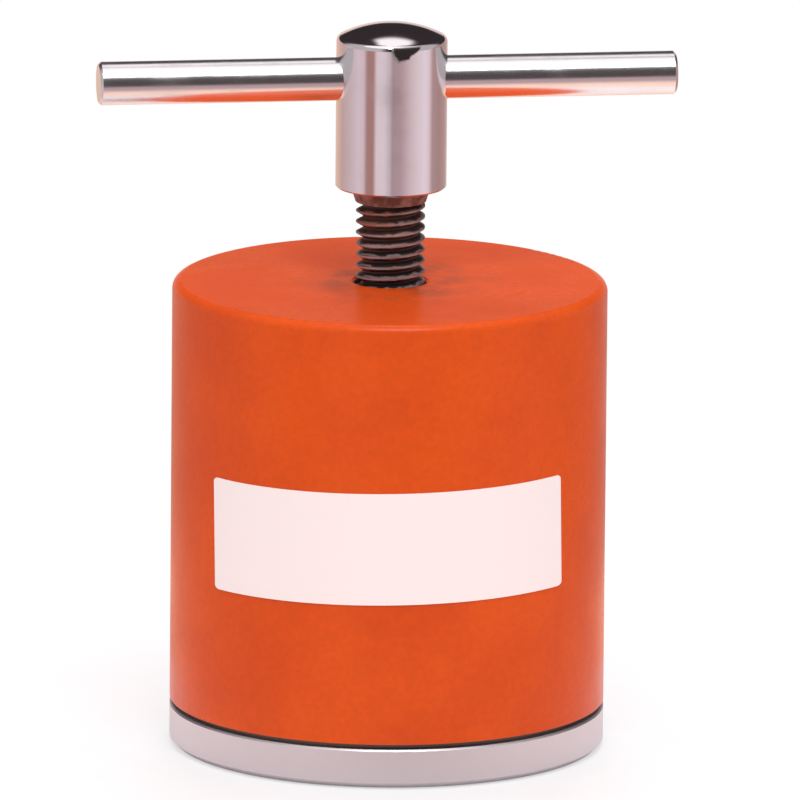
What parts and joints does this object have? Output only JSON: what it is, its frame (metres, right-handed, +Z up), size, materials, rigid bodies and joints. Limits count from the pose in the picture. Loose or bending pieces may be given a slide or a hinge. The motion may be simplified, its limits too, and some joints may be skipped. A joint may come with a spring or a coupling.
{
  "type": "pot magnet",
  "caption": "Deep cylindrical pot magnet with a painted steel cup, bare label, keeper disc and a jack screw with a barrel head and cross bar that pushes it off the steel.",
  "frame": {"origin": "centre of the keeper plate's underside, on the screw's axis", "axes": "+Z up along the screw's axis, the label faces -Y, +X to the label's right as it is looked at"},
  "size_m": [0.1334, 0.1002, 0.1683],
  "materials": {
    "orange_paint": "glossy sprayed enamel",
    "label_film": "matt self-adhesive film, unprinted",
    "magnet_alloy": "cast, ground on the ends",
    "pole_steel": "ground",
    "gap_brass": "turned",
    "potting_resin": "cast epoxy",
    "screw_steel": "rolled thread, dark and lightly oiled",
    "bright_chrome": "polished chrome plate",
    "black_steel": "black oxide",
    "hard_steel": "hardened and polished",
    "keeper_zinc": "bright zinc plate on turned steel"
  },
  "bodies": {
    "keeper": {"keeper_plate": "keeper_zinc"},
    "magnet": {"pot_body": "orange_paint", "label": "label_film", "magnet_upper": "magnet_alloy", "magnet_lower": "magnet_alloy", "inner_pole": "pole_steel", "gap_ring": "gap_brass", "guide_tube": "gap_brass", "resin_fill": "potting_resin"},
    "foot": {"thrust_pad": "pole_steel", "thrust_ball": "hard_steel", "retaining_ring": "hard_steel"},
    "screw": {"jack_screw": "screw_steel", "screw_head": "bright_chrome", "t_bar": "bright_chrome", "set_screws": "black_steel"}
  },
  "joints": [
    {"name": "magnet_lift", "type": "slide", "parent": "keeper", "child": "magnet", "axis": [0, 0, 1], "range_m": [0, 0.01777]},
    {"name": "foot_travel", "type": "slide", "parent": "magnet", "child": "foot", "axis": [0, 0, -1], "range_m": [0, 0.0178]},
    {"name": "screw_turn", "type": "hinge", "parent": "foot", "child": "screw", "pos_m": [0, 0, 0.1], "axis": [0, 0, -1], "range_deg": [0, 2520]}
  ],
  "couplings": [
    {"joint": "screw_turn", "follows": "magnet_lift", "rad_per_m": 2473.7},
    {"joint": "foot_travel", "follows": "magnet_lift", "ratio": 1}
  ]
}
